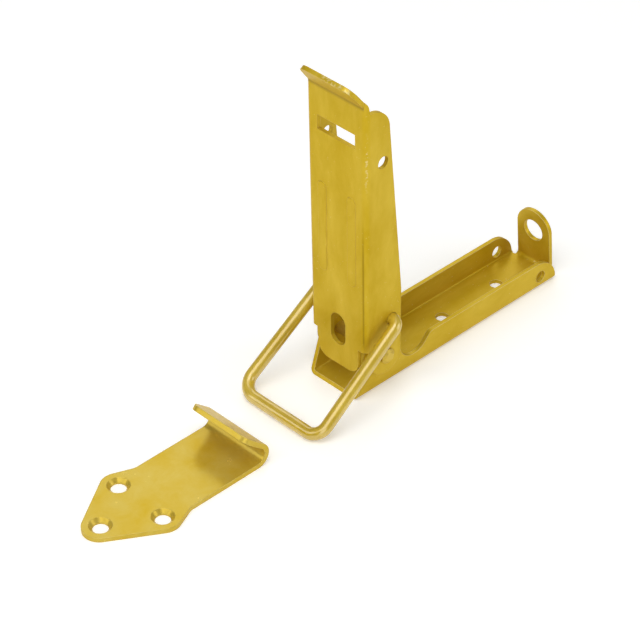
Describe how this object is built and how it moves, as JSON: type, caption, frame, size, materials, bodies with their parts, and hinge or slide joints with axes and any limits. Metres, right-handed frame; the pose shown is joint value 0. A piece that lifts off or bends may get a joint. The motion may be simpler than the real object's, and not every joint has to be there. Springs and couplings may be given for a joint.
{
  "type": "chest latch",
  "caption": "Draw latch for a chest: folded base with a padlock eye, slotted over-centre lever, wire bail and a separate hooked catch plate.",
  "frame": {"origin": "centre of the base's middle screw hole, on the base's underside", "axes": "+X along the base towards the padlock eye, +Y across the latch, +Z away from the surface that it is screwed to"},
  "size_m": [0.2105, 0.0409, 0.124],
  "materials": {
    "golden_steel": "golden plated, satin"
  },
  "bodies": {
    "mounted": {"base": "golden_steel", "pivot_rivet": "golden_steel", "catch_plate": "golden_steel"},
    "lever_body": {"lever": "golden_steel"},
    "bail_body": {"bail": "golden_steel"}
  },
  "joints": [
    {"name": "lever_hinge", "type": "hinge", "parent": "mounted", "child": "lever_body", "pos_m": [-0.0404, 0, 0.0136], "axis": [0, 1, 0], "range_deg": [-55, 99.1]},
    {"name": "bail_hinge", "type": "hinge", "parent": "lever_body", "child": "bail_body", "pos_m": [-0.03855, 0, 0.02803], "axis": [0, 1, 0], "range_deg": [-80, 104]}
  ]
}
